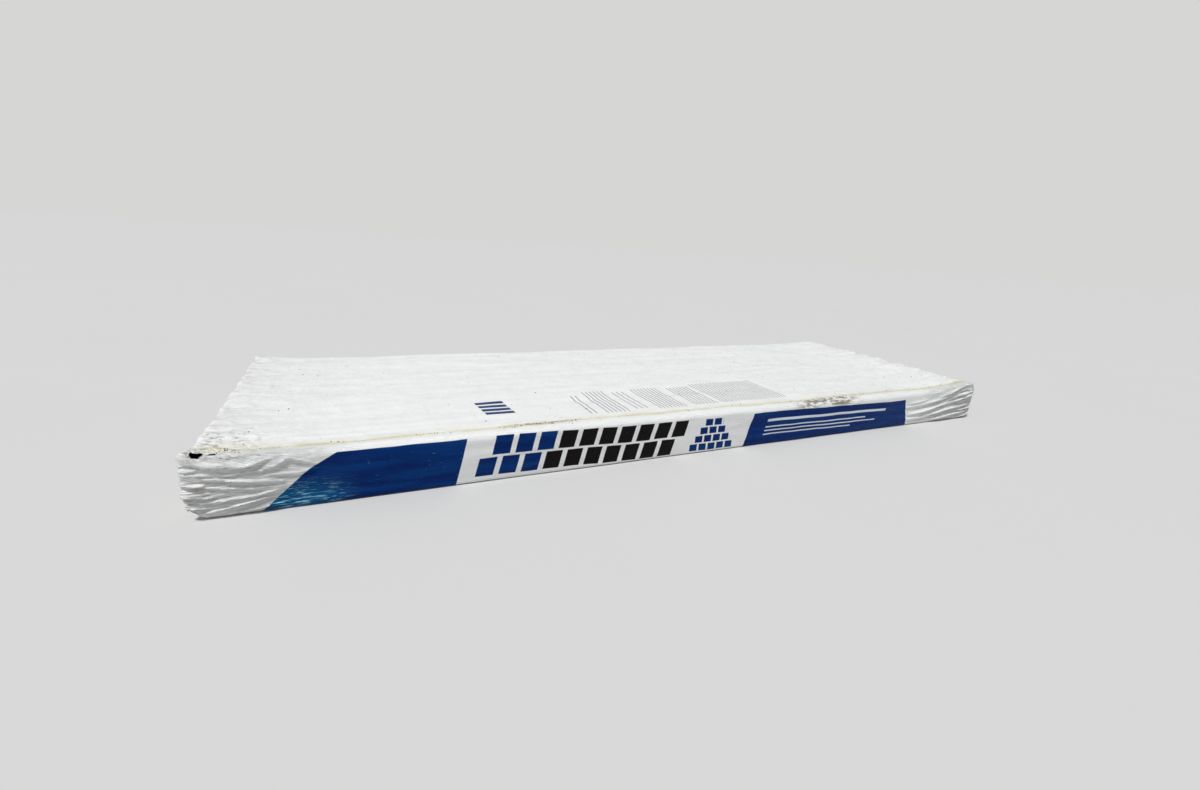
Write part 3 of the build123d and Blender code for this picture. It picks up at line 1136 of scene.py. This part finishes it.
def make_lights():
    """A soft sky, and one broad lamp high at the front left that rakes the folds."""
    world = bpy.data.worlds.new("studio")
    bpy.context.scene.world = world
    world.use_nodes = True
    nodes, links = world.node_tree.nodes, world.node_tree.links
    sky = nodes["Background"]
    sky.inputs["Color"].default_value = SKY_TONE
    sky.inputs["Strength"].default_value = SKY_STRENGTH
    plain = nodes.new("ShaderNodeBackground")
    plain.inputs["Color"].default_value = BACKDROP_TONE
    plain.inputs["Strength"].default_value = 1.0
    seen = nodes.new("ShaderNodeLightPath")
    choice = nodes.new("ShaderNodeMixShader")
    links.new(seen.outputs["Is Camera Ray"], choice.inputs[0])
    links.new(sky.outputs[0], choice.inputs[1])
    links.new(plain.outputs[0], choice.inputs[2])
    links.new(choice.outputs[0], nodes["World Output"].inputs["Surface"])

    lamp = bpy.data.lights.new("key_light", "SUN")
    lamp.energy = SUN_STRENGTH
    lamp.angle = math.radians(10)
    key = bpy.data.objects.new("key_light", lamp)
    key.rotation_mode = "QUATERNION"
    key.rotation_quaternion = SUN_TOWARDS.to_track_quat("-Z", "Y")
    bpy.context.collection.objects.link(key)


# The camera: its focal length and picture width in pixels, its place, and how it is turned
FOCAL_PIXELS = 511.7
PICTURE_WIDTH = 1200
SENSOR_WIDTH = 36
CAMERA_AT = Vector((-0.3765, -0.6374, 0.2426))
CAMERA_YAW, CAMERA_PITCH, CAMERA_ROLL = (math.radians(v) for v in (25.65, 17.19, 3.97))


def make_camera():
    """A near, wide view from the front left, turned to the right end of the bundle."""
    forward = Vector((
        math.sin(CAMERA_YAW) * math.cos(CAMERA_PITCH),
        math.cos(CAMERA_YAW) * math.cos(CAMERA_PITCH),
        -math.sin(CAMERA_PITCH),
    ))
    level = Vector((math.cos(CAMERA_YAW), -math.sin(CAMERA_YAW), 0))
    upright = level.cross(forward)
    right = level * math.cos(CAMERA_ROLL) + upright * math.sin(CAMERA_ROLL)
    up = upright * math.cos(CAMERA_ROLL) - level * math.sin(CAMERA_ROLL)
    data = bpy.data.cameras.new("camera")
    data.sensor_fit = "HORIZONTAL"
    data.sensor_width = SENSOR_WIDTH
    data.lens = SENSOR_WIDTH * FOCAL_PIXELS / PICTURE_WIDTH
    data.clip_start, data.clip_end = 0.01, 100
    camera = bpy.data.objects.new("camera", data)
    bpy.context.collection.objects.link(camera)
    turned = Matrix((right, up, -forward)).transposed()
    camera.matrix_world = Matrix.Translation(CAMERA_AT) @ turned.to_4x4()
    bpy.context.scene.camera = camera


def dress_shingles():
    """The shingles of the stack are carried over as they are, with their granule finish."""
    finish = make_shingle_finish()
    for name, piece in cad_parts.items():
        if name.startswith("shingle_"):
            for place in piece.material_slots:
                place.material = finish
            if not piece.material_slots:
                piece.data.materials.append(finish)


def build():
    """The whole picture: camera, lights, floor, film, granules and the dressed shingles."""
    make_camera()
    make_lights()
    make_floor()

    film = make_film()
    film.data.materials.append(make_film_finish())
    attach(film, "root")
    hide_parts("wrap_film")

    granules = make_granules(film)
    granules.data.materials.append(make_granule_finish())
    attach(granules, "root")

    dress_shingles()
    bpy.context.scene.view_settings.view_transform = "Standard"


build()
